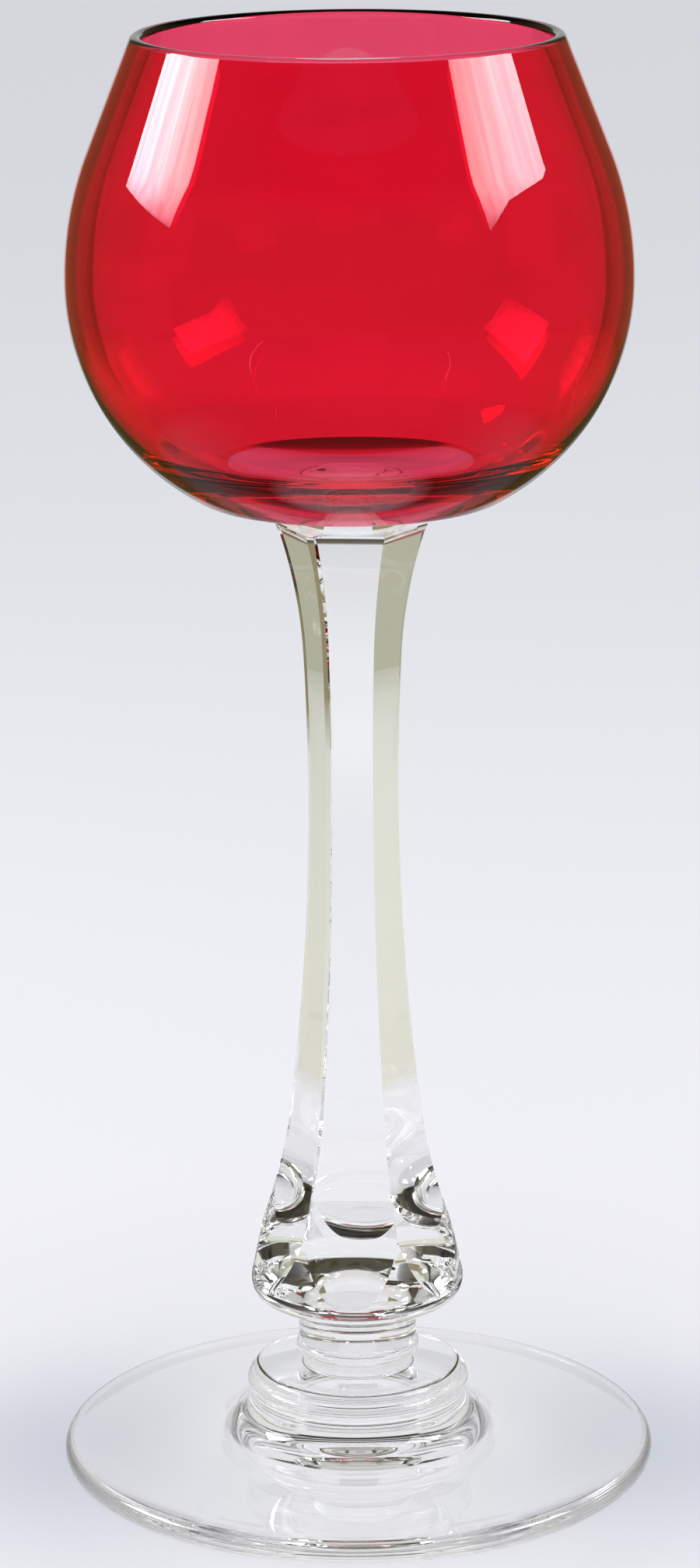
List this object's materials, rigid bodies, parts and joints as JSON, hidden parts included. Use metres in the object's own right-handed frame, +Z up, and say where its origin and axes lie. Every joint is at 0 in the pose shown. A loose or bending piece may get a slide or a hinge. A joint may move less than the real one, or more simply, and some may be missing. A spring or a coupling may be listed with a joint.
{
  "type": "hock wine glass",
  "caption": "Stemmed wine glass with a rounded ruby-cased bowl, a tall clear stem with cut panels and a knop, and a wide stepped disc foot that it stands on.",
  "frame": {"origin": "middle of the plane that the foot's resting ring stands on, on the glass's axis", "axes": "+Z up along the axis of the glass; -Y faces the viewer, and +X is to the right in the picture"},
  "size_m": [0.0828, 0.0828, 0.2],
  "materials": {
    "clear_glass": "polished clear glass",
    "ruby_glass": "polished ruby glass"
  },
  "bodies": {
    "root": {"bowl": "clear_glass", "casing": "ruby_glass", "button": "clear_glass", "stem": "clear_glass", "neck": "clear_glass", "collar": "clear_glass", "foot": "clear_glass"}
  },
  "joints": []
}
